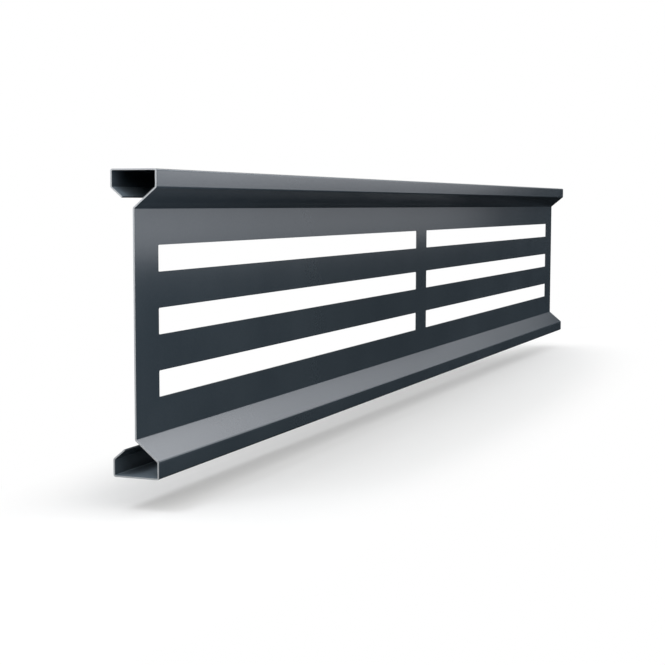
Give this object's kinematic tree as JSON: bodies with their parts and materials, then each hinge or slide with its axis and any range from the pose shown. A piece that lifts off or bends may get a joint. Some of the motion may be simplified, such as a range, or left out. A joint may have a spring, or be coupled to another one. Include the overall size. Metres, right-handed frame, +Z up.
{
  "type": "slotted steel fence panel",
  "caption": "Folded sheet steel fence infill panel with horizontal slots and a stiffening channel along the top and the bottom, for stacking between posts.",
  "frame": {"origin": "middle of the flat lower seat that the panel stands on, halfway along and halfway through its depth", "axes": "+X along the panel, +Y towards the rear faces with the turned-in lips, +Z up"},
  "size_m": [1.8, 0.05, 0.3],
  "materials": {
    "powder_coat": "satin anthracite grey powder coat on galvanised steel, lighter on the cut ends"
  },
  "bodies": {
    "root": {"fence_panel": "powder_coat"}
  },
  "joints": []
}
